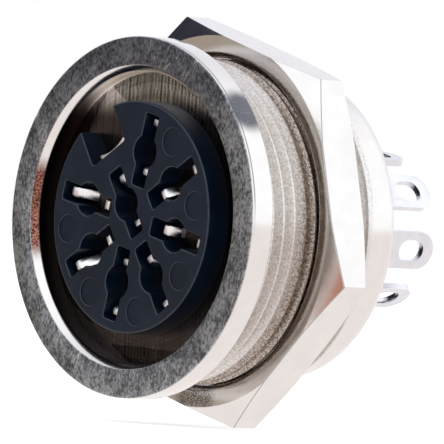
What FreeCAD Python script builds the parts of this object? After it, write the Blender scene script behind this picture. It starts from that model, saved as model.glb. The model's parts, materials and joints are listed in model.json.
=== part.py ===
import FreeCAD, Part
import Sketcher
import math
import os

# Eight-way round socket for a panel, in millimetres.
# The axis runs along Y. The plug goes in from the front, which faces -Y, and +Z is up.
# The origin is on the axis, in the plane of the flange's rear face, which seats on the panel.

# Driving sizes: name, value, what it measures. Depths are counted along Y from the panel seat.
SIZES = [
    ("bore_radius", 7.6, "inside of the shell, where the plug's shell goes"),
    ("bore_chamfer_width", 0.3, "radial width of the chamfer at the mouth of the bore"),
    ("bore_chamfer_depth", 0.44, "axial depth of that chamfer"),
    ("thread_wall", 0.9, "bore to the crest of the thread, which is M17 x 0.75"),
    ("flange_ledge", 0.9, "crest of the thread to the rim of the flange"),
    ("flange_thickness", 1.45, "flange, front face to panel seat"),
    ("flange_edge", 0.12, "rounding of the flange's front and rear edges"),
    ("step_depth", 7.75, "panel seat to the step that the insulator seats on"),
    ("seat_width", 0.2, "radial width of that step"),
    ("thread_run_on", 0.5, "that step to the end of the thread"),
    ("thread_lead", 0.35, "bevel at the end of the thread"),
    ("lip_wall", 0.25, "wall of the neck and of the rolled lip"),
    ("lip_roll", 1.1, "outer radius of the rolled lip"),
    ("fit_gap", 0.05, "clearance between the shell, the mouldings and what they hold"),
    ("nut_wall", 1.0, "crest of the thread to a flat of the nut"),
    ("nut_thickness", 2.3, "nut, front face to rear face"),
    ("nut_place", 3.7, "panel seat to the nut's front face"),
    ("nut_gap", 0.05, "running clearance of the nut on the thread"),
    ("nut_turn", 14.0, "turn of one corner of the nut from the top, in degrees"),
    ("nut_bevel", 0.45, "axial depth of the nut's chamfer at its corners"),
    ("nut_lead", 0.3, "chamfer at both ends of the nut's thread"),
    ("pin_circle", 3.5, "radius of the circle of seven contacts"),
    ("middle_shift", 0.8, "axis to the middle contact, towards the keyway"),
    ("pin_hole", 0.875, "radius of the round middle of each opening"),
    ("slot_width", 1.0, "width of the two narrow ends of each opening"),
    ("slot_outward", 2.0, "opening, its middle to its outer end"),
    ("opening_web", 0.6, "wall between the middle opening and the one across from the keyway"),
    ("outer_wall", 0.55, "outer end of an opening to the outside of the insulator's core"),
    ("core_edge", 0.12, "bevel of the core's front edge"),
    ("collar_thickness", 1.0, "collar at the rear of the insulator"),
    ("key_turn", 31.5, "turn of the keyway from the top, in degrees, anticlockwise from the front"),
    ("key_width", 2.8, "keyway, side to side"),
    ("key_depth", 2.25, "outside of the core to the floor of the keyway"),
    ("mark_radius", 0.72, "radius of one ejector mark"),
    ("mark_margin", 0.4, "ejector mark to the outside of the core"),
    ("mark_depth", 0.08, "depth of one ejector mark"),
    ("disc_thickness", 1.25, "rear disc that holds the contacts in"),
    ("strip", 0.35, "sheet that the contacts are stamped from"),
    ("prong_side_gap", 0.225, "side of a prong to the side of its slot"),
    ("outer_prong_gap", 0.2, "outer prong's tip to the outer end of the opening"),
    ("inner_prong_gap", 0.55, "inner prong's tip to the inner end of the opening"),
    ("fork_pinch", 1.2, "gap between the prongs where they grip the pin"),
    ("fork_spread", 1.6, "gap between the prongs at their root"),
    ("fork_set_back", 0.4, "front face of the insulator to the tips of the prongs"),
    ("outer_flare_depth", 1.5, "front face of the insulator to the outer prong's pinch"),
    ("inner_flare_depth", 1.0, "front face of the insulator to the inner prong's pinch"),
    ("tag_shift", 0.45, "middle of a contact to the middle plane of its solder tag, outward"),
    ("tag_width", 2.0, "width of a solder tag"),
    ("tag_length", 6.35, "rear face of the rear disc to the tip of a solder tag"),
    ("tag_flat", 0.1, "straight part of a tag's tip, between its two round corners"),
    ("tag_gap", 0.1, "clearance of a tag in the rear disc"),
    ("eye_width", 1.15, "width of the wire hole in a tag"),
    ("eye_length", 1.7, "length of the wire hole in a tag"),
    ("eye_edge", 0.7, "tip of the tag to its wire hole"),
    ("spring_width", 2.12, "width of the earth spring in the keyway"),
    ("spring_strip", 0.2, "sheet of the earth spring"),
    ("spring_bow", 4.1, "radius that the earth spring's section is curved to"),
]
CONTACTS_ROUND_CIRCLE = 7
CONTACT_STEP_DEGREES = 45
EJECTOR_MARKS = 6
NUT_SIDES = 6
FULL_TURN = 360
SAME_PLACE = 1e-4

# Places that follow from the driving sizes, as formulas. Radii are taken from the axis.
THREAD_RADIUS = "({bore_radius} + {thread_wall})"
FLANGE_RADIUS = "(%s + {flange_ledge})" % THREAD_RADIUS
NECK_INSIDE = "({bore_radius} + {seat_width})"
NECK_RADIUS = "(%s + {lip_wall})" % NECK_INSIDE
LIP_END = "(%s - {lip_roll} - {fit_gap})" % NECK_RADIUS
MOULDING_RADIUS = "(%s - {fit_gap})" % NECK_INSIDE
THREAD_END = "({step_depth} + {thread_run_on})"
DISC_FRONT = "({step_depth} + {collar_thickness})"
DISC_REAR = "(%s + {disc_thickness})" % DISC_FRONT
LIP_INSIDE = "(%s + {fit_gap})" % DISC_REAR
SHELL_REAR = "(%s + {lip_wall})" % LIP_INSIDE
NUT_BORE = "(%s + {nut_gap})" % THREAD_RADIUS
NUT_FLAT = "(%s + {nut_wall})" % THREAD_RADIUS
NUT_CORNER = "(%s * 2 / sqrt(3))" % NUT_FLAT
CORE_RADIUS = "({pin_circle} + {slot_outward} + {outer_wall})"
SLOT_INWARD = "(({pin_circle} + {middle_shift} - {opening_web}) / 2)"
KEY_FLOOR = "(%s - {key_depth})" % CORE_RADIUS
MARK_CIRCLE = "(%s - {mark_margin} - {mark_radius})" % CORE_RADIUS
FORK_WIDTH = "({slot_width} - 2 * {prong_side_gap})"
OUTER_FLARE = "({slot_outward} - {outer_prong_gap} - {strip})"
INNER_FLARE = "(%s - {inner_prong_gap} - {strip})" % SLOT_INWARD
TAG_TIP = "(%s + {tag_length})" % DISC_REAR
SPRING_CIRCLE = "(%s + {fit_gap} + {spring_strip} / 2)" % KEY_FLOOR
SPRING_BOW_MIDDLE = "(%s - {spring_strip} / 2 + {spring_bow})" % SPRING_CIRCLE

doc = FreeCAD.newDocument("din_socket")
sheet = doc.addObject("Spreadsheet::Sheet", "sizes")
for row, (alias, number, meaning) in enumerate(SIZES, start=1):
    sheet.set("A%d" % row, alias)
    sheet.set("B%d" % row, str(number))
    sheet.set("C%d" % row, meaning)
    sheet.setAlias("B%d" % row, alias)
doc.recompute()

sub_parts = []


# A formula is written with the sheet's own names in braces, such as "{bore_radius} + {fit_gap}".
def formula(text):
    return text.replace("{", "sizes.").replace("}", "")


def worth(text):
    result = sheet.evalExpression(formula(text))
    return float(getattr(result, "Value", result))


def new_body(label):
    body = doc.addObject("PartDesign::Body", label)
    body.Label = label
    sub_parts.append(body)
    return body


# XY_Plane holds turned profiles (across, along the axis); XZ_Plane faces the front; YZ_Plane
# holds the side view of a contact (along the axis, outward).
def new_sketch(body, name, plane, forward="0", turn="0"):
    sketch = body.newObject("Sketcher::SketchObject", name)
    support = [item for item in body.Origin.OriginFeatures if item.Role == plane][0]
    sketch.AttachmentSupport = [(support, "")]
    sketch.MapMode = "FlatFace"
    sketch.AttachmentOffset = FreeCAD.Placement(
        FreeCAD.Vector(0, 0, 0), FreeCAD.Rotation(FreeCAD.Vector(0, 0, 1), worth(turn))
    )
    sketch.setExpression("AttachmentOffset.Base.z", formula("(%s) * 1 mm" % forward))
    sketch.setExpression("AttachmentOffset.Rotation.Angle", formula("(%s) * 1 deg" % turn))
    return sketch


def pin_down(sketch, piece, end, across, up):
    for kind, text in (("DistanceX", across), ("DistanceY", up)):
        number = sketch.addConstraint(Sketcher.Constraint(kind, -1, 1, piece, end, worth(text)))
        sketch.setExpression("Constraints[%d]" % number, formula("(%s) * 1 mm" % text))


# Closed outline of straight sides through corners given as (across, up) formulas.
def draw_outline(sketch, corners):
    first = sketch.GeometryCount
    spots = [FreeCAD.Vector(worth(across), worth(up), 0) for across, up in corners]
    for index, spot in enumerate(spots):
        sketch.addGeometry(Part.LineSegment(spot, spots[(index + 1) % len(spots)]), False)
    for index, (across, up) in enumerate(corners):
        after = (index + 1) % len(corners)
        sketch.addConstraint(Sketcher.Constraint("Coincident", first + index, 2, first + after, 1))
        pin_down(sketch, first + index, 1, across, up)


def draw_circle(sketch, across, up, radius):
    middle = FreeCAD.Vector(worth(across), worth(up), 0)
    upright = FreeCAD.Vector(0, 0, 1)
    piece = sketch.addGeometry(Part.Circle(middle, upright, worth(radius)), False)
    number = sketch.addConstraint(Sketcher.Constraint("Radius", piece, worth(radius)))
    sketch.setExpression("Constraints[%d]" % number, formula("(%s) * 1 mm" % radius))
    pin_down(sketch, piece, 3, across, up)


# Slot with round ends that runs up the sketch, from one end to the other.
def draw_slot(sketch, low, high, width):
    half = worth(width) / 2
    upright = FreeCAD.Vector(0, 0, 1)
    low_middle = FreeCAD.Vector(0, worth(low) + half, 0)
    high_middle = FreeCAD.Vector(0, worth(high) - half, 0)
    side = FreeCAD.Vector(half, 0, 0)
    low_circle = Part.Circle(low_middle, upright, half)
    high_circle = Part.Circle(high_middle, upright, half)
    low_arc = sketch.addGeometry(Part.ArcOfCircle(low_circle, math.pi, 2 * math.pi), False)
    high_arc = sketch.addGeometry(Part.ArcOfCircle(high_circle, 0, math.pi), False)
    right = sketch.addGeometry(Part.LineSegment(low_middle + side, high_middle + side), False)
    left = sketch.addGeometry(Part.LineSegment(high_middle - side, low_middle - side), False)
    sketch.addConstraint(Sketcher.Constraint("Tangent", low_arc, 2, right, 1))
    sketch.addConstraint(Sketcher.Constraint("Tangent", right, 2, high_arc, 1))
    sketch.addConstraint(Sketcher.Constraint("Tangent", high_arc, 2, left, 1))
    sketch.addConstraint(Sketcher.Constraint("Tangent", left, 2, low_arc, 1))
    number = sketch.addConstraint(Sketcher.Constraint("Radius", low_arc, half))
    sketch.setExpression("Constraints[%d]" % number, formula("(%s) / 2 * 1 mm" % width))
    pin_down(sketch, low_arc, 3, "0", "%s + %s / 2" % (low, width))
    number = sketch.addConstraint(Sketcher.Constraint("DistanceY", -1, 1, high_arc, 3, high_middle.y))
    sketch.setExpression("Constraints[%d]" % number, formula("(%s - %s / 2) * 1 mm" % (high, width)))


def turned(body, name, sketch, kind="PartDesign::Revolution"):
    feature = body.newObject(kind, name)
    feature.Profile = sketch
    feature.ReferenceAxis = (sketch, ["V_Axis"])
    feature.Angle = FULL_TURN
    return feature


def padded(body, name, sketch, length, both_ways=False, reverse=False):
    feature = body.newObject("PartDesign::Pad", name)
    feature.Profile = sketch
    feature.setExpression("Length", formula("(%s) * 1 mm" % length))
    feature.Midplane = both_ways
    feature.Reversed = reverse
    return feature


def pocketed(body, name, sketch, depth=None, both_ways=False):
    volume_before = body.Shape.Volume
    feature = body.newObject("PartDesign::Pocket", name)
    feature.Profile = sketch
    feature.Midplane = both_ways
    if depth is None:
        feature.Type = "ThroughAll"
    else:
        feature.setExpression("Length", formula("(%s) * 1 mm" % depth))
    doc.recompute()
    if feature.Shape.Volume >= volume_before:
        raise RuntimeError(name + " cuts nothing")
    return feature


def patterned(body, name, features, sketch, sweep, copies):
    pattern = body.newObject("PartDesign::PolarPattern", name)
    pattern.Originals = features
    pattern.Axis = (sketch, ["N_Axis"])
    pattern.Angle = sweep
    pattern.Occurrences = copies
    body.Tip = pattern
    doc.recompute()
    return pattern


# Names of the round edges of a turned feature that lie at a given radius and depth.
def rings_at(feature, places):
    names = []
    for radius, depth in places:
        for number, edge in enumerate(feature.Shape.Edges, start=1):
            curve = edge.Curve
            if curve.TypeId != "Part::GeomCircle" or abs(curve.Center.y - worth(depth)) > SAME_PLACE:
                continue
            if abs(curve.Radius - worth(radius)) < SAME_PLACE:
                names.append("Edge%d" % number)
    return names


def eased(body, name, kind, base, edges, size):
    feature = body.newObject("PartDesign::" + kind, name)
    feature.Base = (base, edges)
    feature.setExpression("Radius" if kind == "Fillet" else "Size", formula("(%s) * 1 mm" % size))
    doc.recompute()
    return feature


# Shell: one turning of nickel-plated brass. The flange is at the front, the thread behind it, and
# the thin neck at the rear is rolled inward over the rear disc, which holds the mouldings in.
shell = new_body("shell")
profile = new_sketch(shell, "shell_profile", "XY_Plane")
draw_outline(profile, [
    ("{bore_radius} + {bore_chamfer_width}", "-{flange_thickness}"),
    (FLANGE_RADIUS, "-{flange_thickness}"),
    (FLANGE_RADIUS, "0"),
    (THREAD_RADIUS, "0"),
    (THREAD_RADIUS, THREAD_END + " - {thread_lead}"),
    (NECK_RADIUS, THREAD_END),
    (NECK_RADIUS, SHELL_REAR),
    (LIP_END, SHELL_REAR),
    (LIP_END, LIP_INSIDE),
    (NECK_INSIDE, LIP_INSIDE),
    (NECK_INSIDE, "{step_depth}"),
    ("{bore_radius}", "{step_depth}"),
    ("{bore_radius}", "{bore_chamfer_depth} - {flange_thickness}"),
])
turning = turned(shell, "shell_turning", profile)
doc.recompute()
roll_edge = rings_at(turning, [(NECK_RADIUS, SHELL_REAR)])
rolled = eased(shell, "lip_outside", "Fillet", turning, roll_edge, "{lip_roll}")
inner_edge = rings_at(rolled, [(NECK_INSIDE, LIP_INSIDE)])
lined = eased(shell, "lip_inside", "Fillet", rolled, inner_edge, "{lip_roll} - {lip_wall}")
flange_edges = rings_at(lined, [(FLANGE_RADIUS, "-{flange_thickness}"), (FLANGE_RADIUS, "0")])
eased(shell, "flange_edges", "Fillet", lined, flange_edges, "{flange_edge}")

# Nut: plated brass hexagon, chamfered to a circle on both faces, which runs on the shell's thread.
nut = new_body("nut")
nut_rear = "({nut_place} + {nut_thickness})"
hexagon = new_sketch(nut, "nut_hexagon", "XZ_Plane", "-{nut_place}", "{nut_turn}")
hexagon_corners = []
for index in range(NUT_SIDES):
    corner_turn = index * FULL_TURN // NUT_SIDES
    across = "-%s * sin(%d deg)" % (NUT_CORNER, corner_turn)
    up = "%s * cos(%d deg)" % (NUT_CORNER, corner_turn)
    hexagon_corners.append((across, up))
draw_outline(hexagon, hexagon_corners)
draw_circle(hexagon, "0", "0", NUT_BORE)
blank = padded(nut, "nut_blank", hexagon, "{nut_thickness}", reverse=True)
doc.recompute()
bevels = new_sketch(nut, "nut_bevels", "XY_Plane")
bevel_reach = "2 * %s - %s" % (NUT_CORNER, NUT_FLAT)
for face, inward in (("{nut_place}", "+"), (nut_rear, "-")):
    draw_outline(bevels, [
        (NUT_FLAT, face),
        (bevel_reach, face),
        (bevel_reach, "%s %s 2 * {nut_bevel}" % (face, inward)),
    ])
bevelled = turned(nut, "nut_chamfers", bevels, "PartDesign::Groove")
doc.recompute()
if bevelled.Shape.Volume >= blank.Shape.Volume:
    raise RuntimeError("the nut's chamfers cut nothing")
mouths = rings_at(bevelled, [(NUT_BORE, "{nut_place}"), (NUT_BORE, nut_rear)])
eased(nut, "nut_lead_in", "Chamfer", bevelled, mouths, "{nut_lead}")

# Insulator: one moulding of black plastic. A round core stands in the bore, with a collar at its
# rear that seats on the step in the shell, eight openings for pins and a keyway.
insulator = new_body("insulator")
profile = new_sketch(insulator, "insulator_profile", "XY_Plane")
draw_outline(profile, [
    ("0", "-{flange_thickness}"),
    (CORE_RADIUS + " - {core_edge}", "-{flange_thickness}"),
    (CORE_RADIUS, "{core_edge} - {flange_thickness}"),
    (CORE_RADIUS, "{step_depth}"),
    (MOULDING_RADIUS, "{step_depth}"),
    (MOULDING_RADIUS, DISC_FRONT),
    ("0", DISC_FRONT),
])
turned(insulator, "insulator_core", profile)
doc.recompute()

spring_top = "(%s - sqrt(({spring_bow} - {spring_strip}) ^ 2 - ({spring_width} / 2) ^ 2))"
spring_top = spring_top % SPRING_BOW_MIDDLE
for name, top, depth in (
    ("keyway", "{bore_radius}", "{flange_thickness} + {step_depth}"),
    ("spring_way", spring_top + " + {tag_gap}", None),
):
    key_sketch = new_sketch(insulator, name, "XZ_Plane", "{flange_thickness}", "{key_turn}")
    draw_outline(key_sketch, [
        ("-{key_width} / 2", KEY_FLOOR),
        ("{key_width} / 2", KEY_FLOOR),
        ("{key_width} / 2", top),
        ("-{key_width} / 2", top),
    ])
    pocketed(insulator, name + "_cut", key_sketch, depth)

for place, turn, copies in (
    ("{pin_circle}", "{key_turn} + %d" % CONTACT_STEP_DEGREES, CONTACTS_ROUND_CIRCLE),
    ("{middle_shift}", "{key_turn}", 1),
):
    middle = new_sketch(insulator, "pin_hole", "XZ_Plane", "{flange_thickness}", turn)
    draw_circle(middle, "0", place, "{pin_hole}")
    hole = pocketed(insulator, "pin_hole_cut", middle)
    ends = new_sketch(insulator, "prong_slot", "XZ_Plane", "{flange_thickness}", turn)
    draw_outline(ends, [
        ("-{slot_width} / 2", "%s - %s" % (place, SLOT_INWARD)),
        ("{slot_width} / 2", "%s - %s" % (place, SLOT_INWARD)),
        ("{slot_width} / 2", place + " + {slot_outward}"),
        ("-{slot_width} / 2", place + " + {slot_outward}"),
    ])
    slot = pocketed(insulator, "prong_slot_cut", ends)
    if copies > 1:
        sweep = (copies - 1) * CONTACT_STEP_DEGREES
        patterned(insulator, "openings", [hole, slot], ends, sweep, copies)

mark_turn = "{key_turn} + %d * 3 / 2" % CONTACT_STEP_DEGREES
marks = new_sketch(insulator, "ejector_mark", "XZ_Plane", "{flange_thickness}", mark_turn)
draw_circle(marks, "0", MARK_CIRCLE, "{mark_radius}")
mark = pocketed(insulator, "ejector_mark_cut", marks, "{mark_depth}")
mark_sweep = (EJECTOR_MARKS - 1) * CONTACT_STEP_DEGREES
patterned(insulator, "ejector_marks", [mark], marks, mark_sweep, EJECTOR_MARKS)

# Rear disc: a second black moulding that closes the cavities, under the rolled lip. The tags come
# out through its slots.
rear_disc = new_body("rear_disc")
profile = new_sketch(rear_disc, "disc_profile", "XY_Plane")
draw_outline(profile, [
    ("0", DISC_FRONT),
    (MOULDING_RADIUS, DISC_FRONT),
    (MOULDING_RADIUS, "%s - {lip_roll} + {lip_wall}" % DISC_REAR),
    (LIP_END, DISC_REAR),
    ("0", DISC_REAR),
])
turned(rear_disc, "disc", profile)
doc.recompute()
for place, thickness, turn, copies in (
    ("({pin_circle} + {tag_shift})", "{strip}", "{key_turn} + %d" % CONTACT_STEP_DEGREES,
     CONTACTS_ROUND_CIRCLE),
    ("({middle_shift} + {tag_shift})", "{strip}", "{key_turn}", 1),
    (SPRING_CIRCLE, "{spring_strip}", "{key_turn}", 1),
):
    way = new_sketch(rear_disc, "tag_way", "XZ_Plane", "-" + DISC_FRONT, turn)
    way_side = "({tag_width} / 2 + {tag_gap})"
    way_low = "%s - %s / 2 - {tag_gap}" % (place, thickness)
    way_high = "%s + %s / 2 + {tag_gap}" % (place, thickness)
    draw_outline(way, [
        ("-" + way_side, way_low),
        (way_side, way_low),
        (way_side, way_high),
        ("-" + way_side, way_high),
    ])
    cut = pocketed(rear_disc, "tag_way_cut", way)
    if copies > 1:
        sweep = (copies - 1) * CONTACT_STEP_DEGREES
        patterned(rear_disc, "tag_ways", [cut], way, sweep, copies)


# Solder tag: flat, as wide as its slot in the rear disc, with a round tip and a hole for the wire.
# The neck that joins it to the rest starts further forward.
def add_tag(body, radius, thickness, neck_start):
    neck_side = "(%s / 2)" % FORK_WIDTH
    tag_start = "(%s + {fit_gap})" % DISC_FRONT
    blank_sketch = new_sketch(body, "tag_outline", "XY_Plane", radius)
    draw_outline(blank_sketch, [
        ("-" + neck_side, neck_start),
        (neck_side, neck_start),
        (neck_side, tag_start),
        ("{tag_width} / 2", tag_start),
        ("{tag_width} / 2", TAG_TIP),
        ("-{tag_width} / 2", TAG_TIP),
        ("-{tag_width} / 2", tag_start),
        ("-" + neck_side, tag_start),
    ])
    tag = padded(body, "tag", blank_sketch, thickness, both_ways=True)
    doc.recompute()
    corners = []
    for number, edge in enumerate(tag.Shape.Edges, start=1):
        ends = [vertex.Point for vertex in edge.Vertexes]
        at_tip = all(abs(point.y - worth(TAG_TIP)) < SAME_PLACE for point in ends)
        if at_tip and abs(ends[0].x - ends[-1].x) < SAME_PLACE:
            corners.append("Edge%d" % number)
    eased(body, "tag_tip", "Fillet", tag, corners, "({tag_width} - {tag_flat}) / 2")
    eye = new_sketch(body, "wire_hole", "XY_Plane", radius)
    eye_end = "(%s - {eye_edge})" % TAG_TIP
    draw_slot(eye, "%s - {eye_length}" % eye_end, eye_end, "{eye_width}")
    pocketed(body, "wire_hole_cut", eye, "{tag_width}", both_ways=True)


def turn_into_place(body, turn):
    upright = FreeCAD.Vector(0, 1, 0)
    body.Placement = FreeCAD.Placement(FreeCAD.Vector(), FreeCAD.Rotation(upright, worth(turn)))
    body.setExpression("Placement.Rotation.Angle", formula("(%s) * 1 deg" % turn))


# Contact: one silver-plated stamping. Two prongs, flared at their tips, grip the pin from the
# axis side and from the outside; the bridge behind them lies against the rear disc, and the tag
# goes on through the disc.
def make_contact(label, radius, turn):
    body = new_body(label)
    side = new_sketch(body, "fork_outline", "YZ_Plane")
    tips = "{fork_set_back} - {flange_thickness}"
    outer_pinch = "{outer_flare_depth} - {flange_thickness}"
    inner_pinch = "{inner_flare_depth} - {flange_thickness}"
    bridge_rear = "(%s - {fit_gap})" % DISC_FRONT
    bridge_front = "(%s - {strip})" % bridge_rear
    draw_outline(side, [
        (tips, "%s + %s" % (radius, OUTER_FLARE)),
        (outer_pinch, radius + " + {fork_pinch} / 2"),
        (bridge_front, radius + " + {fork_spread} / 2"),
        (bridge_front, radius + " - {fork_spread} / 2"),
        (inner_pinch, radius + " - {fork_pinch} / 2"),
        (tips, "%s - %s" % (radius, INNER_FLARE)),
        (tips, "%s - %s - {strip}" % (radius, INNER_FLARE)),
        (inner_pinch, radius + " - {fork_pinch} / 2 - {strip}"),
        (bridge_rear, radius + " - {fork_spread} / 2 - {strip}"),
        (bridge_rear, radius + " + {fork_spread} / 2 + {strip}"),
        (outer_pinch, radius + " + {fork_pinch} / 2 + {strip}"),
        (tips, "%s + %s + {strip}" % (radius, OUTER_FLARE)),
    ])
    padded(body, "fork", side, FORK_WIDTH, both_ways=True)
    doc.recompute()
    add_tag(body, radius + " + {tag_shift}", "{strip}", bridge_front)
    turn_into_place(body, turn)


for index in range(1, CONTACTS_ROUND_CIRCLE + 1):
    contact_turn = "%d - {key_turn}" % (index * CONTACT_STEP_DEGREES)
    make_contact("contact_%d" % index, "{pin_circle}", contact_turn)
make_contact("contact_8", "{middle_shift}", "-{key_turn}")

# Earth spring: a thin curved strip that lies along the floor of the keyway, where the plug's shell
# presses on it, and ends in a tag of its own. The floor's side is the outside of the bow.
earth_spring = new_body("earth_spring")
section = new_sketch(earth_spring, "spring_section", "XZ_Plane", "{flange_thickness} - {fork_set_back}")
floor_bow = "{spring_bow}"
open_bow = "({spring_bow} - {spring_strip})"
left, right = "-{spring_width} / 2", "{spring_width} / 2"
arcs = []
for bow in (floor_bow, open_bow):
    bow_middle = worth(SPRING_BOW_MIDDLE)
    end_height = bow_middle - math.sqrt(worth(bow) ** 2 - worth(right) ** 2)
    arcs.append(Part.Arc(
        FreeCAD.Vector(worth(left), end_height, 0),
        FreeCAD.Vector(0, bow_middle - worth(bow), 0),
        FreeCAD.Vector(worth(right), end_height, 0),
    ))
floor_arc = section.addGeometry(arcs[0], False)
right_side = section.addGeometry(Part.LineSegment(arcs[0].EndPoint, arcs[1].EndPoint), False)
open_arc = section.addGeometry(arcs[1], False)
left_side = section.addGeometry(Part.LineSegment(arcs[1].StartPoint, arcs[0].StartPoint), False)
for arc, bow in ((floor_arc, floor_bow), (open_arc, open_bow)):
    pin_down(section, arc, 3, "0", SPRING_BOW_MIDDLE)
    number = section.addConstraint(Sketcher.Constraint("Radius", arc, worth(bow)))
    section.setExpression("Constraints[%d]" % number, formula("(%s) * 1 mm" % bow))
    for end, across in ((1, left), (2, right)):
        number = section.addConstraint(Sketcher.Constraint("DistanceX", -1, 1, arc, end, worth(across)))
        section.setExpression("Constraints[%d]" % number, formula("(%s) * 1 mm" % across))
section.addConstraint(Sketcher.Constraint("Coincident", floor_arc, 2, right_side, 1))
section.addConstraint(Sketcher.Constraint("Coincident", right_side, 2, open_arc, 2))
section.addConstraint(Sketcher.Constraint("Coincident", open_arc, 1, left_side, 1))
section.addConstraint(Sketcher.Constraint("Coincident", left_side, 2, floor_arc, 1))
spring_length = "{flange_thickness} - {fork_set_back} + %s" % DISC_FRONT
padded(earth_spring, "spring_strip", section, spring_length, reverse=True)
doc.recompute()
add_tag(earth_spring, SPRING_CIRCLE, "{spring_strip}", "{step_depth}")
turn_into_place(earth_spring, "-{key_turn}")

doc.recompute()
for item in doc.Objects:
    if "Invalid" in item.State or "Error" in item.State:
        raise RuntimeError("%s did not build: %s" % (item.Name, item.State))

os.makedirs("parts", exist_ok=True)
for body in sub_parts:
    shape = body.Shape
    if shape.isNull() or not shape.isValid() or len(shape.Solids) != 1:
        raise RuntimeError("%s is not one sound solid" % body.Label)
    shape.exportStep("parts/%s.step" % body.Label)
    print("%-14s %9.3f mm3" % (body.Label, shape.Volume))
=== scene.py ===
import json
import math

import bmesh
import bpy
from mathutils import Matrix, Vector

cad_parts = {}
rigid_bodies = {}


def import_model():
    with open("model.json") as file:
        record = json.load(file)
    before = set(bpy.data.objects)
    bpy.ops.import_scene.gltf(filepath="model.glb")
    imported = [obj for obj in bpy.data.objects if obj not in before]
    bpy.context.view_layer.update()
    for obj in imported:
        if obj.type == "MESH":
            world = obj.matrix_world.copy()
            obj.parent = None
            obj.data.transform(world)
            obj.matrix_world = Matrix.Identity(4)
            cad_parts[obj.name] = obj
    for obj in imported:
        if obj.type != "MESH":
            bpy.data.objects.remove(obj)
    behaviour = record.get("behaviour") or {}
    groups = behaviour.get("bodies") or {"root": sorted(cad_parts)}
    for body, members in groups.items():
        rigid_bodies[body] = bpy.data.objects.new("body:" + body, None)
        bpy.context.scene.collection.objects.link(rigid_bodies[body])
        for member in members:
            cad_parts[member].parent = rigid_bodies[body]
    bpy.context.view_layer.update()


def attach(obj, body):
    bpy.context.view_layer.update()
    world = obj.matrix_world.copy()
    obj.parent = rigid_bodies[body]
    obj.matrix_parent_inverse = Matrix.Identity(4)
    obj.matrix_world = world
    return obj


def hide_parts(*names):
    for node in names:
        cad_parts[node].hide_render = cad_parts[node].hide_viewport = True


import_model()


# Shell
# One turning of nickel-plated brass: a flange with a dull, scratched face, a bright M17 x 0.75
# thread and a thin neck, rolled in at the rear over the mouldings.

# Lengths are millimetres: radii from the socket's axis, and depths from the back of the flange.
FLANGE = 9.4
FLANGE_FRONT = -1.45
MOUTH = 7.9
MOUTH_END = -1.01
BORE = 7.6
NECK = 8.05
SHELL_REAR = 10.3
COLLAR_BORE = 7.8
COLLAR_SEAT = 7.75
LIP = 6.9
LIP_FRONT = 10.05
THREAD_CREST = 8.5
THREAD_PITCH = 0.75
THREAD_START = -0.05
THREAD_END = 8.25
THREAD_LEAD_SLOPE = 1.3
RING_STEPS = 192


class Wire:
    """A shader socket that takes part in arithmetic, each operation adding its Math node."""

    def __init__(self, shading, socket):
        self.shading = shading
        self.socket = socket

    def maths(self, operation, first, second=0.0):
        return self.shading.node("Math", {"operation": operation}, {0: first, 1: second})

    def __add__(self, other):
        return self.maths("ADD", self, other)

    def __sub__(self, other):
        return self.maths("SUBTRACT", self, other)

    def __rsub__(self, other):
        return self.maths("SUBTRACT", other, self)

    def __mul__(self, other):
        return self.maths("MULTIPLY", self, other)

    def __abs__(self):
        return self.maths("ABSOLUTE", self)

    __radd__ = __add__
    __rmul__ = __mul__

    def larger(self, other):
        return self.maths("MAXIMUM", self, other)

    def fade(self, low, high):
        """0 below low, 1 above high and smooth between; low may be the larger."""
        limits = {"interpolation_type": "SMOOTHSTEP"}
        sockets = {0: self, 1: min(low, high), 2: max(low, high)}
        rise = self.shading.node("MapRange", limits, sockets)
        return rise if low < high else 1 - rise


class Shading:
    """The nodes of one material or world."""

    def __init__(self, tree):
        self.tree = tree

    def node(self, kind, settings=None, sockets=None, output=0):
        """A node of that kind: its settings first, then the values or links of its sockets."""
        node = self.tree.nodes.new("ShaderNode" + kind)
        for name, value in (settings or {}).items():
            setattr(node, name, value)
        for name, value in (sockets or {}).items():
            if isinstance(value, Wire):
                self.tree.links.new(value.socket, node.inputs[name])
            else:
                node.inputs[name].default_value = value
        return Wire(self, node.outputs[output])

    def mixed(self, mask, first, second):
        """The first colour where the mask is 0, and the second where it is 1."""
        colours = [tuple(c) + (1.0,) if isinstance(c, tuple) else c for c in (first, second)]
        sockets = {0: mask, 6: colours[0], 7: colours[1]}
        return self.node("Mix", {"data_type": "RGBA"}, sockets, output=2)


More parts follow.
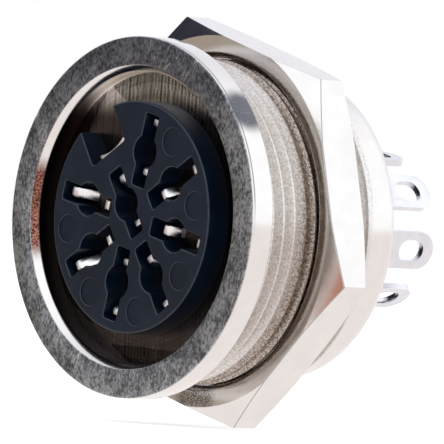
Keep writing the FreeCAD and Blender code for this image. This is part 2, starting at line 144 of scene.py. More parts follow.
class Finish(Shading):
    """A material with one Principled shader, and the nodes that feed it. Its places are in mm."""

    def __init__(self, name, **fixed):
        self.material = bpy.data.materials.new(name)
        self.material.use_nodes = True
        super().__init__(self.material.node_tree)
        self.shader = self.tree.nodes["Principled BSDF"]
        for socket, value in fixed.items():
            self.shader.inputs[socket.replace("_", " ")].default_value = value
        place = self.node("TexCoord", output="Object")
        self.place = self.node("VectorMath", {"operation": "SCALE"}, {0: place, "Scale": 1000.0})
        across = self.node("VectorMath", {"operation": "MULTIPLY"}, {0: self.place, 1: (1, 0, 1)})
        self.radius = self.node("VectorMath", {"operation": "LENGTH"}, {0: across}, output=1)
        self.depth = self.node("SeparateXYZ", sockets={0: self.place}, output=1)

    def noise(self, scale, detail=3.0, roughness=0.55, where=None):
        """Clouds from 0 to 1, by about their number in a millimetre."""
        where = where or self.place
        sockets = {"Vector": where, "Scale": scale, "Detail": detail, "Roughness": roughness}
        return self.node("TexNoise", sockets=sockets)

    def stretched(self, scales, turn=(0.0, 0.0, 0.0)):
        """The place stretched along its axes, for brushed and drawn marks."""
        sockets = {"Vector": self.place, "Rotation": turn, "Scale": scales}
        return self.node("Mapping", {"vector_type": "TEXTURE"}, sockets)

    def near(self, spot, reach):
        """1 at a spot, falling to 0 at a distance."""
        sockets = {0: self.place, 1: spot}
        return self.node("VectorMath", {"operation": "DISTANCE"}, sockets, output=1).fade(reach, 0.0)

    def wear(self, **links):
        """Links what varies over the surface to the sockets of the Principled shader."""
        for socket, wire in links.items():
            self.tree.links.new(wire.socket, self.shader.inputs[socket.replace("_", " ")])

    def bump(self, height, depth_mm):
        """Gives the surface a relief, its depth that of a height of 1."""
        sockets = {"Height": height, "Distance": depth_mm / 1000, "Strength": 1.0}
        self.wear(Normal=self.node("Bump", sockets=sockets))


def ring_edges(shape, radius, depth):
    """The edges of a turned shape that run round it at a radius and a depth."""
    def on_ring(corner):
        reach = math.hypot(corner.co.x, corner.co.z)
        return abs(reach - radius) < 1e-4 and abs(corner.co.y - depth) < 1e-4
    return [edge for edge in shape.edges if all(on_ring(corner) for corner in edge.verts)]


def rounded(shape, edges, size, segments, clamp=False):
    """Makes edges round, by a bevel of that size."""
    bmesh.ops.bevel(
        shape, geom=edges, offset=size, segments=segments, profile=0.5, affect="EDGES",
        material=-1, clamp_overlap=clamp,
    )


def turned(corners, closed=True, steps=RING_STEPS):
    """A profile of (radius, depth) corners, spun about the axis."""
    shape = bmesh.new()
    points = [shape.verts.new((radius, depth, 0)) for radius, depth in corners]
    pairs = list(zip(points, points[1:])) + ([(points[-1], points[0])] if closed else [])
    edges = [shape.edges.new(pair) for pair in pairs]
    bmesh.ops.spin(
        shape, geom=points + edges, cent=(0, 0, 0), axis=(0, 1, 0), dvec=(0, 0, 0),
        angle=math.tau, steps=steps, use_merge=True, use_duplicate=False,
    )
    bmesh.ops.remove_doubles(shape, verts=shape.verts, dist=1e-5)
    bmesh.ops.recalc_face_normals(shape, faces=shape.faces)
    return shape


def joined(*shapes):
    """Several shapes as one."""
    whole = bmesh.new()
    for shape in shapes:
        mesh = bpy.data.meshes.new("joining")
        shape.to_mesh(mesh)
        shape.free()
        whole.from_mesh(mesh)
        bpy.data.meshes.remove(mesh)
    return whole


def piece_of(name, shape, finish, crease=32):
    """The finished piece, in metres, with its place in its mesh."""
    bmesh.ops.scale(shape, vec=(0.001, 0.001, 0.001), verts=shape.verts)
    mesh = bpy.data.meshes.new(name)
    shape.to_mesh(mesh)
    shape.free()
    mesh.materials.append(finish.material)
    mesh.shade_smooth()
    mesh.set_sharp_from_angle(angle=math.radians(crease))
    piece = bpy.data.objects.new(name, mesh)
    bpy.context.scene.collection.objects.link(piece)
    weighted = piece.modifiers.new("even shading", "WEIGHTED_NORMAL")
    weighted.keep_sharp = True
    return piece


shell_profile = [
    (MOUTH, FLANGE_FRONT), (FLANGE, FLANGE_FRONT), (FLANGE, 0.0), (NECK, 0.0), (NECK, SHELL_REAR),
    (LIP, SHELL_REAR), (LIP, LIP_FRONT), (COLLAR_BORE, LIP_FRONT), (COLLAR_BORE, COLLAR_SEAT),
    (BORE, COLLAR_SEAT), (BORE, MOUTH_END),
]
# Each entry is a corner of the profile, the size of its round and the round's segments. The rolled
# lip's two large rounds come before its small edge.
shell_rounds = [
    (0, 0.05, 2), (1, 0.13, 4), (2, 0.1, 3), (4, 1.08, 12), (7, 0.84, 8), (5, 0.08, 2), (10, 0.06, 2),
]
shell_shape = turned(shell_profile)
for corner, size, segments in shell_rounds:
    rounded(shell_shape, ring_edges(shell_shape, *shell_profile[corner]), size, segments)

# The thread is a ridged sleeve: its zigzag profile is spun with a rise of one pitch a turn, and cut
# off flat at both ends. A ridge's depths are shares of the pitch.
thread_root = THREAD_CREST - 0.54 * THREAD_PITCH
thread_inside = NECK - 0.3
ridge = ((THREAD_CREST, 0.0), (THREAD_CREST, 0.125), (thread_root, 0.437), (thread_root, 0.688))
zigzag = []
for turn in range(-2, int(THREAD_END / THREAD_PITCH) + 3):
    zigzag += [(radius, turn * THREAD_PITCH + share * THREAD_PITCH) for radius, share in ridge]
thread_shape = bmesh.new()
outline = zigzag + [(thread_inside, zigzag[-1][1]), (thread_inside, zigzag[0][1])]
points = [thread_shape.verts.new((radius, depth, 0)) for radius, depth in outline]
edges = [thread_shape.edges.new((one, other)) for one, other in zip(points, points[1:] + points[:1])]
bmesh.ops.spin(
    thread_shape, geom=points + edges, cent=(0, 0, 0), axis=(0, 1, 0),
    dvec=(0, THREAD_PITCH / RING_STEPS, 0), angle=math.tau, steps=RING_STEPS,
)
for end, outward in ((THREAD_START, -1), (THREAD_END, 1)):
    bmesh.ops.bisect_plane(
        thread_shape, geom=thread_shape.verts[:] + thread_shape.edges[:] + thread_shape.faces[:],
        plane_co=(0, end, 0), plane_no=(0, outward, 0), clear_outer=True,
    )
bmesh.ops.remove_doubles(thread_shape, verts=thread_shape.verts, dist=1e-4)
bmesh.ops.holes_fill(thread_shape, edges=[e for e in thread_shape.edges if e.is_boundary])
bmesh.ops.recalc_face_normals(thread_shape, faces=thread_shape.faces)

# Its rear end slopes down to the neck.
for corner in thread_shape.verts:
    reach = math.hypot(corner.co.x, corner.co.z)
    allowed = NECK + 0.02 + (THREAD_END - corner.co.y) * THREAD_LEAD_SLOPE
    if reach > allowed:
        corner.co.x *= allowed / reach
        corner.co.z *= allowed / reach

nickel = Finish("nickel_plating", Metallic=1.0)
mottle = nickel.noise(1.1, 5, 0.6)
grain = nickel.noise(9.0, 4, 0.7)
streaks = nickel.noise(8.0, 4, 0.65, nickel.stretched((1.0, 1.0, 1.6)))
rings = nickel.radius + nickel.depth
turning_marks = nickel.node("TexNoise", {"noise_dimensions": "1D"}, {"W": rings * 9.0, "Detail": 3.0})
height = nickel.node("SeparateXYZ", sockets={0: nickel.place}, output=2)

# Where each finish lies: the dull face, the bore's wall, the thread, and the thread near the nut, where
# shade is painted.
face = nickel.depth.fade(FLANGE_FRONT + 0.09, FLANGE_FRONT + 0.01)
face = face * nickel.radius.fade(MOUTH - 0.04, MOUTH + 0.02)
bore_wall = nickel.radius.fade(BORE + 0.06, BORE + 0.02)
thread = nickel.radius.fade(NECK + 0.01, NECK + 0.07)
thread = thread * nickel.radius.fade(THREAD_CREST + 0.2, THREAD_CREST + 0.1)
shaded_near_nut = thread * nickel.depth.fade(2.75, 3.05) * nickel.depth.fade(6.0, 5.9)

# The bright turned metal, speckled on the thread, with painted shade on the thread near the nut, a
# dark speckled patch and a painted line of shade on the flange's rim, and a painted reddish reflection
# on the left of the bore's chamfer.
DARK_PATCH_SPOT = (7.4, -0.6, 5.8)
BROWN_REFLECTION_SPOT = (-7.75, -1.2, 0.2)
# A dark speckled patch on the flange's rim.
dark_patch = nickel.near(DARK_PATCH_SPOT, 2.1).fade(0.1, 0.7) * grain.fade(0.1, 0.45)
dark_patch = dark_patch * nickel.radius.fade(FLANGE - 0.1, FLANGE - 0.02)
# A thin dark line high on the flange's rim, just behind its rounded front edge: painted shade.
painted_rim_shade = nickel.depth.fade(-1.34, -1.31) * nickel.depth.fade(-1.22, -1.26)
painted_rim_shade = painted_rim_shade * nickel.radius.fade(FLANGE - 0.1, FLANGE - 0.04) * height.fade(-1.0, 2.0)
# Mottled dark reddish colour on the left of the bore's chamfer: a painted reflection.
brown_reflection = nickel.near(BROWN_REFLECTION_SPOT, 4.2).fade(0.2, 0.6) * nickel.radius.fade(MOUTH + 0.02, MOUTH - 0.02)
clean = nickel.mixed(mottle.fade(0.3, 0.7), (0.72, 0.695, 0.665), (0.75, 0.73, 0.705))
sparkle = nickel.mixed(grain.fade(0.35, 0.62), (0.54, 0.50, 0.465), (0.74, 0.71, 0.68))
bright = nickel.mixed(thread, clean, sparkle)
# The thread near the nut, mottled dark: painted shade.
shaded_thread = nickel.mixed(grain.fade(0.4, 0.6), (0.20, 0.16, 0.13), (0.52, 0.46, 0.41))
bright = nickel.mixed(shaded_near_nut, bright, shaded_thread)
bright = nickel.mixed(0.9 * dark_patch, bright, (0.05, 0.055, 0.075))
reflected_brown = nickel.mixed(grain.fade(0.4, 0.6), (0.05, 0.02, 0.015), (0.36, 0.16, 0.12))
bright = nickel.mixed(brown_reflection, bright, reflected_brown)
bright = nickel.mixed(0.7 * painted_rim_shade, bright, (0.10, 0.10, 0.10))

# The dull face, patchy and darker towards its top as painted shade, with fine scratches and a nick at
# its outer edge.
NICK_SPOT = (-7.85, FLANGE_FRONT, 5.17)
nick = nickel.near(NICK_SPOT, 0.42) * grain.fade(0.3, 0.6)
wander = nickel.noise(0.5, 1, 0.4, nickel.stretched((0.5, 1.0, 5.0), (0.0, 0.6, 0.0)))
scratches = abs(wander - 0.5).fade(0.006, 0.001) * mottle.fade(0.48, 0.58)
patchy = (0.55 * streaks + 0.3 * mottle + 0.15 * grain).fade(0.40, 0.62)
dull = nickel.mixed(patchy, (0.075, 0.08, 0.088), (0.40, 0.42, 0.435))
# The face's upper part, darker: painted shade.
darker = nickel.mixed(patchy, (0.045, 0.048, 0.06), (0.22, 0.23, 0.26))
dull = nickel.mixed(height.fade(3.0, 8.5), dull, darker)
dull = nickel.mixed(nick.larger(0.6 * scratches), dull, (0.74, 0.73, 0.72))

# The bore's tarnished wall, with pale hairlines, and painted highlights in bands at its top that turn to
# a beige painted reflection deeper in.
tarnish_and_highlight = nickel.mixed(turning_marks.fade(0.45, 0.75), (0.06, 0.05, 0.05), (0.22, 0.18, 0.17))
tarnish_and_highlight = nickel.mixed(grain.fade(0.62, 0.7), tarnish_and_highlight, (0.45, 0.41, 0.37))
bands = nickel.node("TexNoise", {"noise_dimensions": "1D"}, {"W": rings * 0.4, "Detail": 1.0})
# Bright bands high in the bore, beige deeper in: painted highlights and a painted reflection.
painted_highlight = nickel.mixed(bands.fade(0.4, 0.6), (0.70, 0.66, 0.62), (0.98, 0.96, 0.93))
painted_highlight = nickel.mixed(nickel.depth.fade(4.0, 5.0), painted_highlight, (0.50, 0.42, 0.36))
tarnish_and_highlight = nickel.mixed(height.fade(5.0, 6.6), tarnish_and_highlight, painted_highlight)

nickel.wear(
    Base_Color=nickel.mixed(bore_wall, nickel.mixed(face, bright, dull), tarnish_and_highlight),
    Roughness=0.11 + 0.06 * mottle + face * (0.16 + 0.16 * grain) + thread * (0.02 + 0.16 * grain)
    + 0.1 * bore_wall,
)
relief = grain * (0.08 + face + 0.5 * thread) + 0.05 * turning_marks - 2.0 * nick
nickel.bump(relief * (1 - bore_wall), 0.012)

shell_piece = piece_of("shell_looks", joined(shell_shape, thread_shape), nickel)
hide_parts("shell")
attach(shell_piece, "socket")


# Nut
# A hexagon of bright nickel-plated brass, 19 mm across its flats, chamfered to a circle on both
# faces. It runs on the shell's thread and clamps the panel against the flange.
NUT_FRONT = 3.7
NUT_REAR = 6.0
NUT_FLAT = 9.5
NUT_CORNER = NUT_FLAT * 2 / math.sqrt(3)
NUT_FACE = NUT_FLAT + 0.2
NUT_BEVEL = 0.4
NUT_BEVEL_SLOPE = NUT_BEVEL / (NUT_CORNER - NUT_FACE)
NUT_BORE = THREAD_CREST + 0.05
NUT_LEAD = 0.3
NUT_EDGE = 0.05
NUT_TURN = 14


def set_in_place(shape, turn, outward=0.0):
    """Turns what was made at the axis to its angle, anticlockwise from the front, and moves it out."""
    bmesh.ops.translate(shape, vec=(0, 0, outward), verts=shape.verts)
    bmesh.ops.rotate(
        shape, cent=(0, 0, 0), matrix=Matrix.Rotation(math.radians(-turn), 3, "Y"), verts=shape.verts,
    )
    return shape


def pillar(radius, front, rear, segments=40):
    """A round bar along the axis."""
    shape = bmesh.new()
    bmesh.ops.create_cone(
        shape, cap_ends=True, segments=segments, radius1=radius, radius2=radius, depth=rear - front,
    )
    bmesh.ops.rotate(shape, cent=(0, 0, 0), matrix=Matrix.Rotation(math.pi / 2, 3, "X"), verts=shape.verts)
    bmesh.ops.translate(shape, vec=(0, (front + rear) / 2, 0), verts=shape.verts)
    return shape


def long_edges(shape):
    """The edges that run along the axis."""
    return [edge for edge in shape.edges if abs(edge.verts[0].co.y - edge.verts[1].co.y) > 1e-3]


def worked(shape, tools, operation="DIFFERENCE"):
    """The shape with every tool cut out of it, joined to it, or kept in common with it."""
    scene = bpy.context.scene.collection
    blank = bpy.data.objects.new("blank", bpy.data.meshes.new("blank"))
    shape.to_mesh(blank.data)
    scene.objects.link(blank)
    rack = bpy.data.collections.new("tools")
    scene.children.link(rack)
    for tool in tools:
        cutter = bpy.data.objects.new("tool", bpy.data.meshes.new("tool"))
        tool.to_mesh(cutter.data)
        tool.free()
        rack.objects.link(cutter)
    cut = blank.modifiers.new("cut", "BOOLEAN")
    cut.operation = operation
    cut.solver = "EXACT"
    cut.operand_type = "COLLECTION"
    cut.collection = rack
    bpy.context.view_layer.update()
    result = bpy.data.meshes.new_from_object(blank.evaluated_get(bpy.context.evaluated_depsgraph_get()))
    shape.clear()
    shape.from_mesh(result)
    bpy.data.meshes.remove(result)
    for spare in [blank] + list(rack.objects):
        mesh = spare.data
        bpy.data.objects.remove(spare)
        bpy.data.meshes.remove(mesh)
    bpy.data.collections.remove(rack)
    return shape


# A turned blank with the chamfers and the bore's lead-ins, kept where it lies within a hexagon.
blank_edge = NUT_FLAT + 1.7
bevel_rise = (blank_edge - NUT_FACE) * NUT_BEVEL_SLOPE
nut_profile = [
    (NUT_BORE, NUT_FRONT + NUT_LEAD), (NUT_BORE + NUT_LEAD, NUT_FRONT), (NUT_FACE, NUT_FRONT),
    (blank_edge, NUT_FRONT + bevel_rise), (blank_edge, NUT_REAR - bevel_rise), (NUT_FACE, NUT_REAR),
    (NUT_BORE + NUT_LEAD, NUT_REAR), (NUT_BORE, NUT_REAR - NUT_LEAD),
]
nut_shape = turned(nut_profile, steps=240)
for corner in (1, 6):
    rounded(nut_shape, ring_edges(nut_shape, *nut_profile[corner]), NUT_EDGE, 2)
hexagon = pillar(NUT_CORNER, NUT_FRONT - 1, NUT_REAR + 1, 6)
first_corner = next(iter(hexagon.verts)).co
to_the_top = math.degrees(math.atan2(first_corner.x, first_corner.z))
rounded(hexagon, long_edges(hexagon), NUT_EDGE, 2)
worked(nut_shape, [set_in_place(hexagon, NUT_TURN + to_the_top)], "INTERSECT")

# The plating, with painted shade speckled low on the front face and a painted dark line of shade along
# the face's edge.
LOW_SHADE_SPOT = (0.0, NUT_FRONT, -9.3)
nut_plating = Finish("nut_plating", Metallic=1.0)
patches = nut_plating.noise(0.8, 4, 0.55)
pits = nut_plating.noise(16.0, 3, 0.6)
drawn = nut_plating.noise(3.0, 4, 0.6, nut_plating.stretched((0.25, 2.5, 0.25)))
shine = nut_plating.mixed(patches.fade(0.3, 0.7), (0.71, 0.685, 0.655), (0.75, 0.73, 0.705))
# Dark speckles low on the front face: painted shade.
low_shade = nut_plating.near(LOW_SHADE_SPOT, 2.6).fade(0.2, 0.7) * pits.fade(0.35, 0.6)
low_shade = low_shade * nut_plating.radius.fade(NUT_FACE + 0.02, NUT_FACE - 0.05)
shine = nut_plating.mixed(0.9 * low_shade, shine, (0.05, 0.045, 0.04))
# A thin dark line along the front edge of the flats: painted shade.
behind = nut_plating.depth - NUT_FRONT - NUT_BEVEL_SLOPE * (nut_plating.radius - NUT_FACE).larger(0.0)
edge_shade = behind.fade(0.01, 0.03) * behind.fade(0.09, 0.06)
edge_shade = edge_shade * nut_plating.radius.fade(NUT_FLAT - 0.2, NUT_FLAT - 0.05)
shine = nut_plating.mixed(0.8 * edge_shade, shine, (0.10, 0.10, 0.10))
nut_plating.wear(Base_Color=shine, Roughness=0.08 + 0.06 * patches + 0.05 * drawn)
nut_plating.bump(0.5 * pits + 0.6 * drawn, 0.004)

nut_piece = piece_of("nut_looks", nut_shape, nut_plating, crease=14)
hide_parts("nut")
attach(nut_piece, "nut")


# Insulator
# One moulding of satin blue-black plastic: a round core in the bore with a collar at its rear, a
# keyway, eight openings with flared ends and six shallow ejector marks with a faint rim.
CORE = 6.05
COLLAR = 7.75
COLLAR_REAR = 8.75
KEY_TURN = 31.5
KEY_HALF = 1.4
KEY_FLOOR = 3.8
PIN_CIRCLE = 3.5
MIDDLE_SHIFT = 0.8
EYE = 0.875
SLOT_HALF = 0.5
SLOT_INWARD = 1.85
SLOT_OUTWARD = 2.0
THROAT = 0.16
RIM = 0.06
MARK = 0.72
MARK_DEPTH = 0.08
MARK_CIRCLE = 4.93
CORE_ROUND = 0.12
KEY_ROUND = 0.2
KEY_REACH = 8.0
SPRING_ROOM = 0.5
SLOT_ROUND = 0.12

# What cuts the openings starts before the core's face and ends behind its collar.
TOOL_FRONT = FLANGE_FRONT - 0.1
TOOL_REAR = COLLAR_REAR + 0.75


def block(low, high, corner_size, segments=4):
    """A box between two corners, its edges along the axis rounded."""
    shape = bmesh.new()
    bmesh.ops.create_cube(shape, size=1.0)
    middle = [(a + b) / 2 for a, b in zip(low, high)]
    bmesh.ops.scale(shape, vec=[b - a for a, b in zip(low, high)], verts=shape.verts)
    bmesh.ops.translate(shape, vec=middle, verts=shape.verts)
    if corner_size:
        rounded(shape, long_edges(shape), corner_size, segments)
    return shape


def flared(shape, size=RIM):
    """A tool whose front is wider by a 45 degree bevel of that size at the insulator's face."""
    where = FLANGE_FRONT + size
    everything = shape.verts[:] + shape.edges[:] + shape.faces[:]
    bmesh.ops.bisect_plane(shape, geom=everything, plane_co=(0, where, 0), plane_no=(0, 1, 0))
    shape.normal_update()
    moves = []
    for corner in shape.verts:
        if corner.co.y < where - 1e-4:
            sides = [side.normal for side in corner.link_faces if abs(side.normal.y) < 0.5]
            outward = sum(sides, Vector()).normalized()
            moves.append((corner, outward * (where - TOOL_FRONT) / outward.dot(sides[0])))
    for corner, move in moves:
        corner.co += move
    return shape


core_shape = turned([
    (0.0, FLANGE_FRONT), (CORE, FLANGE_FRONT), (CORE, COLLAR_SEAT), (COLLAR, COLLAR_SEAT),
    (COLLAR, COLLAR_REAR), (0.0, COLLAR_REAR),
], closed=False, steps=128)
rounded(core_shape, ring_edges(core_shape, CORE, FLANGE_FRONT), CORE_ROUND, 4)

# The keyway, and behind it the slot in the collar for the earth spring.
low, high = (-KEY_HALF, TOOL_FRONT, KEY_FLOOR), (KEY_HALF, COLLAR_SEAT, KEY_REACH)
keyway = flared(block(low, high, KEY_ROUND))
low, high = (-KEY_HALF, COLLAR_SEAT - 0.75, KEY_FLOOR), (KEY_HALF, TOOL_REAR, KEY_FLOOR + SPRING_ROOM)
spring_slot = block(low, high, 0.0)
tools = [set_in_place(keyway, KEY_TURN), set_in_place(spring_slot, KEY_TURN)]

# The openings, each a round eye with a slot through it: seven round the keyway and one in the middle.
openings = [(KEY_TURN + 45 * step, PIN_CIRCLE) for step in range(1, 8)] + [(KEY_TURN, MIDDLE_SHIFT)]
for turn, outward in openings:
    opening = pillar(EYE, TOOL_FRONT, TOOL_REAR)
    low, high = (-SLOT_HALF, TOOL_FRONT, -SLOT_INWARD), (SLOT_HALF, TOOL_REAR, SLOT_OUTWARD)
    worked(opening, [block(low, high, SLOT_ROUND, 3)], "UNION")
    bmesh.ops.dissolve_limit(
        opening, angle_limit=math.radians(1), verts=opening.verts[:], edges=opening.edges[:],
    )
    throats = [edge for edge in opening.edges if not edge.is_convex and edge.calc_length() > 5]
    rounded(opening, throats, THROAT, 4)
    bmesh.ops.remove_doubles(opening, verts=opening.verts, dist=1e-3)
    tools.append(set_in_place(flared(opening), turn, outward))

# The ejector marks, one between each two openings of the circle.
for step in range(6):
    mark = flared(pillar(MARK, TOOL_FRONT, FLANGE_FRONT + MARK_DEPTH, 48), 0.04)
    tools.append(set_in_place(mark, KEY_TURN + 67.5 + 45 * step, MARK_CIRCLE))
worked(core_shape, tools)

plastic = Finish("insulator_plastic", Metallic=0.0, IOR=1.45, Specular_IOR_Level=0.3)
cloud = plastic.noise(0.9, 4, 0.6)
spark = plastic.noise(22.0, 3, 0.6)
black = plastic.mixed(cloud.fade(0.3, 0.7), (0.0005, 0.005, 0.0145), (0.0015, 0.009, 0.0245))
# Pale speckles on the flared rims at the face: a painted highlight.
rim_highlight = plastic.depth.fade(FLANGE_FRONT, FLANGE_FRONT + 0.02)
rim_highlight = rim_highlight * plastic.depth.fade(FLANGE_FRONT + RIM, FLANGE_FRONT + RIM - 0.02)
surface = plastic.mixed(rim_highlight * spark.fade(0.3, 0.6), black, (0.055, 0.06, 0.075))
plastic.wear(Base_Color=surface, Roughness=0.32 + 0.14 * cloud)
plastic.bump(spark + 0.6 * cloud, 0.008)

core_piece = piece_of("insulator_looks", core_shape, plastic)
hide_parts("insulator")
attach(core_piece, "socket")


# Rear disc
# The second black moulding, under the rolled lip: a plain disc that closes the cavities, with a
# slot for each solder tag.
DISC_EDGE = 9.15
DISC_REAR = 10.0
SHEET = 0.35
SPRING_SHEET = 0.2
SPRING_PLACE = 3.95
TAG_SHIFT = 0.45
TAG_HALF = 1.0
TAG_PLAY = 0.1
TAG_SLOT_ROUND = 0.06
disc_shape = turned([
    (0.0, COLLAR_REAR), (COLLAR, COLLAR_REAR), (COLLAR, DISC_EDGE), (LIP, DISC_REAR), (0.0, DISC_REAR),
], closed=False, steps=128)
tags = [(turn, outward + TAG_SHIFT, SHEET) for turn, outward in openings]
tags.append((KEY_TURN, SPRING_PLACE, SPRING_SHEET))
tools = []
for turn, outward, sheet in tags:
    half_width, half_depth = TAG_HALF + TAG_PLAY, sheet / 2 + TAG_PLAY
    low, high = (-half_width, COLLAR_REAR - 0.75, -half_depth), (half_width, DISC_REAR + 1, half_depth)
    tools.append(set_in_place(block(low, high, TAG_SLOT_ROUND, 2), turn, outward))
worked(disc_shape, tools)

disc_piece = piece_of("rear_disc_looks", disc_shape, plastic)
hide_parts("rear_disc")
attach(disc_piece, "socket")


# Contacts
# Eight silver-plated stampings: two prongs that grip the pin from the axis side and the outside, a
# bridge behind them against the rear disc, and a flat solder tag with a round tip and a wire hole.

# A name with HALF or FLARE is measured from the middle of the pin or tag, one with ROUND is the size
# of a round, and the rest are depths.
TAG_TIP = 16.35
TAG_START = 8.8
TAG_NECK = 8.35
HOLE_HALF = 0.575
HOLE_FRONT = TAG_TIP - 2.4
HOLE_REAR = TAG_TIP - 0.7
STRIP_HALF = 0.275
TIPS = FLANGE_FRONT + 0.4
TIP_ROUND = 0.12
BRIDGE = 8.7
BRIDGE_HALF = 0.8
PINCH_HALF = 0.6
OUTER_PINCH = 0.05
INNER_PINCH = -0.45
OUTER_FLARE = 1.45
INNER_FLARE = 0.95
BEND_ROUND = 0.16
BURR_ROUND = 0.05


def round_ended(shape, half_width, front, rear):
    """A loop with two round ends, in the plane of the tag."""
    ring = bmesh.ops.create_circle(shape, segments=48, radius=half_width)["verts"]
    for corner in ring:
        if corner.co.y > 0:
            corner.co.y += rear - half_width
        else:
            corner.co.y += front + half_width
    return ring, [edge for edge in shape.edges if all(end in ring for end in edge.verts)]


def thickened(shape, faces, move):
    """Flat faces drawn out to a sheet."""
    raised = bmesh.ops.extrude_face_region(shape, geom=faces)["geom"]
    lifted = [item for item in raised if isinstance(item, bmesh.types.BMVert)]
    bmesh.ops.translate(shape, vec=move, verts=lifted)
    bmesh.ops.recalc_face_normals(shape, faces=shape.faces)


def deburred(shape, size=BURR_ROUND):
    """The sharp edges of a stamping made round."""
    rim = [edge for edge in shape.edges if edge.calc_face_angle(0) > math.radians(60)]
    rounded(shape, rim, size, 2, clamp=True)


def solder_tag(outward, sheet, neck_front):
    """The flat tag with its wire hole, square at its start, and the narrow neck in front of it."""
    shape = bmesh.new()
    outer, outer_edges = round_ended(shape, TAG_HALF, TAG_START, TAG_TIP)
    for corner in outer:
        if corner.co.y < TAG_START + TAG_HALF - 1e-4:
            corner.co.y = TAG_START
            corner.co.x = max(-TAG_HALF, min(TAG_HALF, corner.co.x * 1.4))
    hole_edges = round_ended(shape, HOLE_HALF, HOLE_FRONT, HOLE_REAR)[1]
    bmesh.ops.bridge_loops(shape, edges=outer_edges + hole_edges)
    thickened(shape, shape.faces[:], (0, 0, sheet))
    bmesh.ops.translate(shape, vec=(0, 0, -sheet / 2), verts=shape.verts)
    deburred(shape)
    low, high = (-STRIP_HALF, neck_front, -sheet / 2), (STRIP_HALF, TAG_START + 0.05, sheet / 2)
    return set_in_place(joined(shape, block(low, high, 0.0)), 0, outward)


def prongs(outward):
    """The fork, from its side view: a flared outer prong, a shorter inner one and their bridge."""
    side = [
        (TIPS, OUTER_FLARE), (OUTER_PINCH, PINCH_HALF), (BRIDGE - SHEET, BRIDGE_HALF),
        (BRIDGE - SHEET, -BRIDGE_HALF), (INNER_PINCH, -PINCH_HALF), (TIPS, -INNER_FLARE),
        (TIPS, -INNER_FLARE - SHEET), (INNER_PINCH, -PINCH_HALF - SHEET), (BRIDGE, -BRIDGE_HALF - SHEET),
        (BRIDGE, BRIDGE_HALF + SHEET), (OUTER_PINCH, PINCH_HALF + SHEET), (TIPS, OUTER_FLARE + SHEET),
    ]
    shape = bmesh.new()
    points = [shape.verts.new((-STRIP_HALF, depth, out)) for depth, out in side]
    thickened(shape, [shape.faces.new(points)], (2 * STRIP_HALF, 0, 0))
    across = [edge for edge in shape.edges if abs(edge.verts[0].co.x - edge.verts[1].co.x) > STRIP_HALF]
    bends = [edge for edge in across if edge.verts[0].co.y > TIPS + 0.1]
    rounded(shape, bends, BEND_ROUND, 4, clamp=True)
    ends = [edge for edge in shape.edges if all(corner.co.y < TIPS + 1e-3 for corner in edge.verts)]
    rounded(shape, ends, TIP_ROUND, 3, clamp=True)
    deburred(shape)
    return set_in_place(shape, 0, outward)


# Silver, painted dark as shade inside the openings, and painted darker on the tags as shade that keeps
# them off pure white.
silver = Finish("contact_plating", Metallic=1.0)
stain = silver.noise(1.6, 4, 0.6)
rolled = silver.noise(6.0, 3, 0.6, silver.stretched((1.0, 0.15, 1.0)))
# Dark deep inside the openings: painted shade.
inside = silver.depth.fade(0.1, 1.6) * silver.depth.fade(9.6, 9.0)
tone = silver.mixed(stain.fade(0.3, 0.75), (0.80, 0.79, 0.785), (0.90, 0.90, 0.905))
tone = silver.mixed(inside, tone, (0.10, 0.09, 0.085))
# The tags a little darker than the prongs: painted shade that keeps them off pure white.
shaded_tag_tone = silver.mixed(stain.fade(0.3, 0.75), (0.68, 0.68, 0.71), (0.75, 0.75, 0.78))
tone = silver.mixed(silver.depth.fade(9.0, 9.6), tone, shaded_tag_tone)
tip_faces = silver.depth.fade(TIPS + 0.2, TIPS + 0.05)
silver.wear(Base_Color=tone, Roughness=0.14 + 0.16 * stain + 0.2 * tip_faces)
silver.bump(rolled, 0.006)

# Numbered against the order of the openings round the circle, with contact 8 in the middle.
contact_places = openings[6::-1] + openings[7:]
for number, (turn, outward) in enumerate(contact_places, start=1):
    contact = joined(prongs(outward), solder_tag(outward + TAG_SHIFT, SHEET, TAG_NECK))
    contact_piece = piece_of("contact_%d_looks" % number, set_in_place(contact, turn), silver)
    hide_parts("contact_%d" % number)
    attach(contact_piece, "socket")


# Earth spring
# A thin strip of silver-plated bronze, curved across its width, that lies on the keyway's floor for
# the plug's shell to press on. It ends in a solder tag of its own.
SPRING_BOW = 2.7
SPRING_HALF = 1.06
SPRING_LENGTH = 9.8
SPRING_NECK = 7.9
spring_middle = SPRING_PLACE - SPRING_SHEET / 2 + SPRING_BOW
half_angle = math.asin(SPRING_HALF / SPRING_BOW)
spring_shape = bmesh.new()
start = spring_shape.verts.new((-SPRING_BOW * math.sin(half_angle), TIPS, 0))
start.co.z = spring_middle - SPRING_BOW * math.cos(half_angle)
bmesh.ops.spin(
    spring_shape, geom=[start], cent=(0, 0, spring_middle), axis=(0, 1, 0), dvec=(0, 0, 0),
    angle=-2 * half_angle, steps=12,
)
strip = bmesh.ops.extrude_edge_only(spring_shape, edges=spring_shape.edges[:])["geom"]
far_end = [item for item in strip if isinstance(item, bmesh.types.BMVert)]
bmesh.ops.translate(spring_shape, vec=(0, SPRING_LENGTH, 0), verts=far_end)
bmesh.ops.recalc_face_normals(spring_shape, faces=spring_shape.faces)
if sum(facing.normal.z for facing in spring_shape.faces) > 0:
    bmesh.ops.reverse_faces(spring_shape, faces=spring_shape.faces)
bmesh.ops.solidify(spring_shape, geom=spring_shape.faces[:], thickness=SPRING_SHEET)
bmesh.ops.recalc_face_normals(spring_shape, faces=spring_shape.faces)
deburred(spring_shape, 0.04)
spring_whole = joined(spring_shape, solder_tag(SPRING_PLACE, SPRING_SHEET, SPRING_NECK))
spring_piece = piece_of("earth_spring_looks", set_in_place(spring_whole, KEY_TURN), silver)
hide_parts("earth_spring")
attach(spring_piece, "socket")


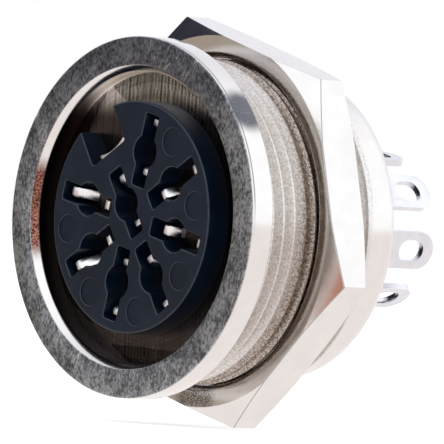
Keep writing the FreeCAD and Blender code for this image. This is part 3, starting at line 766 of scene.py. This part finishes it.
# Studio
# A pale floor under the part and soft lamps above and to the sides. The metal mirrors pale walls and
# a pale bench with coloured cards, each card given by its direction from the part.
FLOOR_LEVEL = -10.66
FLOOR_HALF = 3000.0

# Each card's direction, the angles at which it is full and at which it ends, and its colour.
CARDS = (
    ((-0.41, -0.85, 0.32), 14, 22, (1.36, 1.39, 1.45)),
    ((-0.82, -0.57, 0.0), 20, 30, (0.46, 0.40, 0.34)),
    ((-0.824, -0.455, 0.333), 11, 17, (0.03, 0.03, 0.05)),
    ((-0.05, -0.93, -0.36), 15, 21, (0.55, 0.22, 0.15)),
)


def carded(shading, aim, plain):
    """The colour that the metal mirrors in a direction: the plain one, or that of a card."""
    for direction, full_turn, edge_turn, colour in CARDS:
        facing = shading.node("VectorMath", {"operation": "DOT_PRODUCT"}, {0: aim, 1: direction}, output=1)
        limits = [math.cos(math.radians(turn)) for turn in (edge_turn, full_turn)]
        plain = shading.mixed(facing.fade(*limits), plain, colour)
    return plain


def by_ray(shading, lit, mirrored, shown):
    """One shader for plain light, one for what metal and plastic mirror, one for the camera."""
    bounce = shading.node("LightPath", output="Is Glossy Ray")
    bounce = bounce.larger(shading.node("LightPath", output="Is Transmission Ray"))
    unseen = shading.node("MixShader", sockets={0: bounce, 1: lit, 2: mirrored})
    camera_ray = shading.node("LightPath", output="Is Camera Ray")
    return shading.node("MixShader", sockets={0: camera_ray, 1: unseen, 2: shown})


floor_shape = bmesh.new()
bmesh.ops.create_grid(floor_shape, x_segments=1, y_segments=1, size=FLOOR_HALF)
bmesh.ops.translate(floor_shape, vec=(0, 0, FLOOR_LEVEL), verts=floor_shape.verts)
bmesh.ops.scale(floor_shape, vec=(0.001, 0.001, 0.001), verts=floor_shape.verts)
floor_mesh = bpy.data.meshes.new("floor")
floor_shape.to_mesh(floor_mesh)
floor_shape.free()
floor = bpy.data.objects.new("floor", floor_mesh)
bpy.context.scene.collection.objects.link(floor)

paper = Finish("floor_paper", Roughness=0.8)
fibre = paper.noise(0.4, 3, 0.5)
paper.wear(Base_Color=paper.mixed(fibre, (0.86, 0.86, 0.86), (0.89, 0.89, 0.89)))
own = Wire(paper, paper.shader.outputs[0])
glow = paper.node("Emission", sockets={"Color": (1, 1, 1, 1), "Strength": 0.5})
aim = paper.node("VectorMath", {"operation": "NORMALIZE"}, {0: paper.place})
bench = paper.node("Emission", sockets={"Color": carded(paper, aim, (1.1, 1.05, 1.05)), "Strength": 1.0})
paper_look = by_ray(paper, own, bench, paper.node("AddShader", sockets={0: own, 1: glow}))
paper.tree.links.new(paper_look.socket, paper.tree.nodes["Material Output"].inputs["Surface"])
floor_mesh.materials.append(paper.material)

world = bpy.data.worlds.new("studio")
world.use_nodes = True
bpy.context.scene.world = world
room = Shading(world.node_tree)
aim = room.node("TexCoord", output="Generated")
side = room.node("SeparateXYZ", sockets={0: aim}).fade(-0.5, 0.4)
walls = carded(room, aim, room.mixed(side, (1.02, 1.02, 1.10), (1.36, 1.39, 1.45)))
mirrored = room.node("Background", sockets={"Color": walls, "Strength": 1.0})
dim = room.node("Background", sockets={"Color": (1, 1, 1, 1), "Strength": 0.75})
white = room.node("Background", sockets={"Color": (1, 1, 1, 1), "Strength": 1.0})
room_look = by_ray(room, dim, mirrored, white)
room.tree.links.new(room_look.socket, room.tree.nodes["World Output"].inputs["Surface"])


def softbox(name, place, power, size=0.3):
    """A round lamp turned to the part, which the metal doesn't mirror. Place and size in metres."""
    lamp = bpy.data.lights.new(name, "AREA")
    lamp.shape = "DISK"
    lamp.size = size
    lamp.energy = power
    holder = bpy.data.objects.new(name, lamp)
    holder.location = place
    holder.rotation_euler = (-Vector(place)).to_track_quat("-Z", "Y").to_euler()
    holder.visible_glossy = False
    bpy.context.scene.collection.objects.link(holder)


softbox("key_lamp", (-0.25, -0.35, 0.45), 0.5)
softbox("fill_lamp", (0.5, -0.1, 0.25), 0.35)
softbox("top_lamp", (0.05, 0.25, 0.5), 0.4)

# The camera looks from 47.9 degrees right of the socket's own front, level, rolled by 3.1 degrees,
# at a point that is a little to the right of the flange's middle and below it.
VIEW_TURN = math.radians(47.91)
ROLL = math.radians(3.13)
DISTANCE = 529.35
AIM_RIGHT = 4.745
AIM_UP = -0.2536
FOCAL_LENGTH = 829.5
SENSOR_WIDTH = 36
ahead = Vector((-math.sin(VIEW_TURN), math.cos(VIEW_TURN), 0))
level = Vector((math.cos(VIEW_TURN), math.sin(VIEW_TURN), 0))
upright = Vector((0, 0, 1))
right = level * math.cos(ROLL) + upright * math.sin(ROLL)
up = upright * math.cos(ROLL) - level * math.sin(ROLL)
target = Vector((0, FLANGE_FRONT, 0)) + AIM_RIGHT * right + AIM_UP * up
lens = bpy.data.cameras.new("camera")
lens.lens = FOCAL_LENGTH
lens.sensor_width = SENSOR_WIDTH
lens.sensor_fit = "HORIZONTAL"
camera = bpy.data.objects.new("camera", lens)
camera.location = (target - DISTANCE * ahead) / 1000
camera.rotation_euler = Matrix((right, up, -ahead)).transposed().to_euler()
bpy.context.scene.collection.objects.link(camera)
bpy.context.scene.camera = camera
bpy.context.scene.view_settings.view_transform = "Standard"
